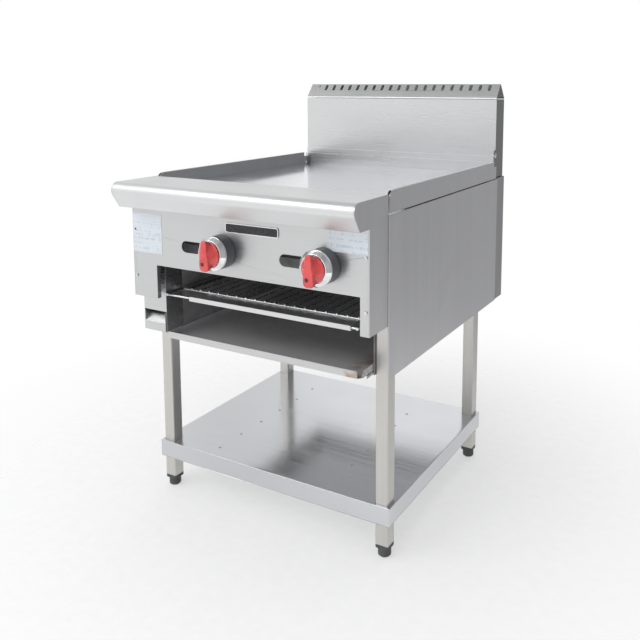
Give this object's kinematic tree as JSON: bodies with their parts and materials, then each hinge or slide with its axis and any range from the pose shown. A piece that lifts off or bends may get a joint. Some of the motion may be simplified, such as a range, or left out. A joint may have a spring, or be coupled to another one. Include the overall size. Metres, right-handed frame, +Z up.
{
  "type": "gas griddle with toaster",
  "caption": "Gas griddle on an open stand: polished plate with splash guards and flue riser over a toaster slot with sliding rack, crumb tray and grease drawer.",
  "frame": {"origin": "on the floor, under the centre of the outer box", "axes": "+Z up, front towards -Y, the grease drawer on the -X side"},
  "size_m": [0.62, 0.841, 0.974],
  "materials": {
    "brushed_stainless": "brushed, fine horizontal grain",
    "griddle_steel": "ground and polished",
    "leg_stainless": "satin",
    "heat_steel": "dull, darkened by heat",
    "rack_wire": "bright",
    "chrome_ring": "bright",
    "red_grip": "glossy moulded",
    "black_plastic": "satin moulded",
    "foot_plastic": "matt moulded",
    "nameplate_black": "black with bright rim",
    "label_film": "matt film",
    "brass": "machined",
    "black_pipe": "matt black",
    "aluminium_tube": "drawn",
    "burner_steel": "aluminised, heat-tinted",
    "screw_steel": "bright"
  },
  "bodies": {
    "griddle_body": {"bullnose_ledge": "brushed_stainless", "burner_feed_tubes": "aluminium_tube", "burner_rest": "heat_steel", "casing_screws": "screw_steel", "control_panel": "brushed_stainless", "crumb_tray_runners": "brushed_stainless", "flue_cap": "brushed_stainless", "flue_riser": "brushed_stainless", "front_heat_shield": "heat_steel", "front_left_foot": "foot_plastic", "front_left_leg": "leg_stainless", "front_right_foot": "foot_plastic", "front_right_leg": "leg_stainless", "gas_inlet_coupling": "brass", "gas_manifold": "black_pipe", "gas_supply_pipe": "black_pipe", "grease_chute": "brushed_stainless", "grease_column_casing": "brushed_stainless", "grease_trough": "brushed_stainless", "griddle_plate": "griddle_steel", "inner_back_panel": "heat_steel", "left_burner": "burner_steel", "left_end_cheek": "brushed_stainless", "left_gas_valve": "brass", "left_inner_wall": "heat_steel", "left_side_panel": "brushed_stainless", "left_splash_guard": "brushed_stainless", "nameplate": "nameplate_black", "pilot_tubes": "aluminium_tube", "plate_rails": "brushed_stainless", "rack_runners": "brushed_stainless", "radiant_baffles": "heat_steel", "rating_labels": "label_film", "rear_flue_casing": "brushed_stainless", "rear_left_foot": "foot_plastic", "rear_left_leg": "leg_stainless", "rear_right_foot": "foot_plastic", "rear_right_leg": "leg_stainless", "right_burner": "burner_steel", "right_end_cheek": "brushed_stainless", "right_gas_valve": "brass", "right_inner_wall": "heat_steel", "right_side_panel": "brushed_stainless", "right_splash_guard": "brushed_stainless", "shelf_stiffeners": "brushed_stainless", "undershelf": "brushed_stainless"},
    "left_knob": {"left_knob_base": "black_plastic", "left_knob_ring": "chrome_ring", "left_knob_grip": "red_grip", "left_valve_stem": "brass"},
    "right_knob": {"right_knob_base": "black_plastic", "right_knob_ring": "chrome_ring", "right_knob_grip": "red_grip", "right_valve_stem": "brass"},
    "toaster_rack": {"rack_frame": "rack_wire", "rack_wires": "rack_wire", "rack_grip_plate": "brushed_stainless"},
    "crumb_tray": {"crumb_tray": "brushed_stainless"},
    "grease_drawer": {"grease_drawer": "brushed_stainless"}
  },
  "joints": [
    {"name": "left_knob_turn", "type": "hinge", "parent": "griddle_body", "child": "left_knob", "pos_m": [-0.047, -0.3605, 0.627], "axis": [0, -1, 0], "range_deg": [0, 90]},
    {"name": "right_knob_turn", "type": "hinge", "parent": "griddle_body", "child": "right_knob", "pos_m": [0.204, -0.3605, 0.627], "axis": [0, -1, 0], "range_deg": [0, 90]},
    {"name": "toaster_rack_slide", "type": "slide", "parent": "griddle_body", "child": "toaster_rack", "axis": [0, -1, 0], "range_m": [0, 0.35]},
    {"name": "crumb_tray_slide", "type": "slide", "parent": "griddle_body", "child": "crumb_tray", "axis": [0, -1, 0], "range_m": [0, 0.5]},
    {"name": "grease_drawer_slide", "type": "slide", "parent": "griddle_body", "child": "grease_drawer", "axis": [0, -1, 0], "range_m": [0, 0.25]}
  ]
}
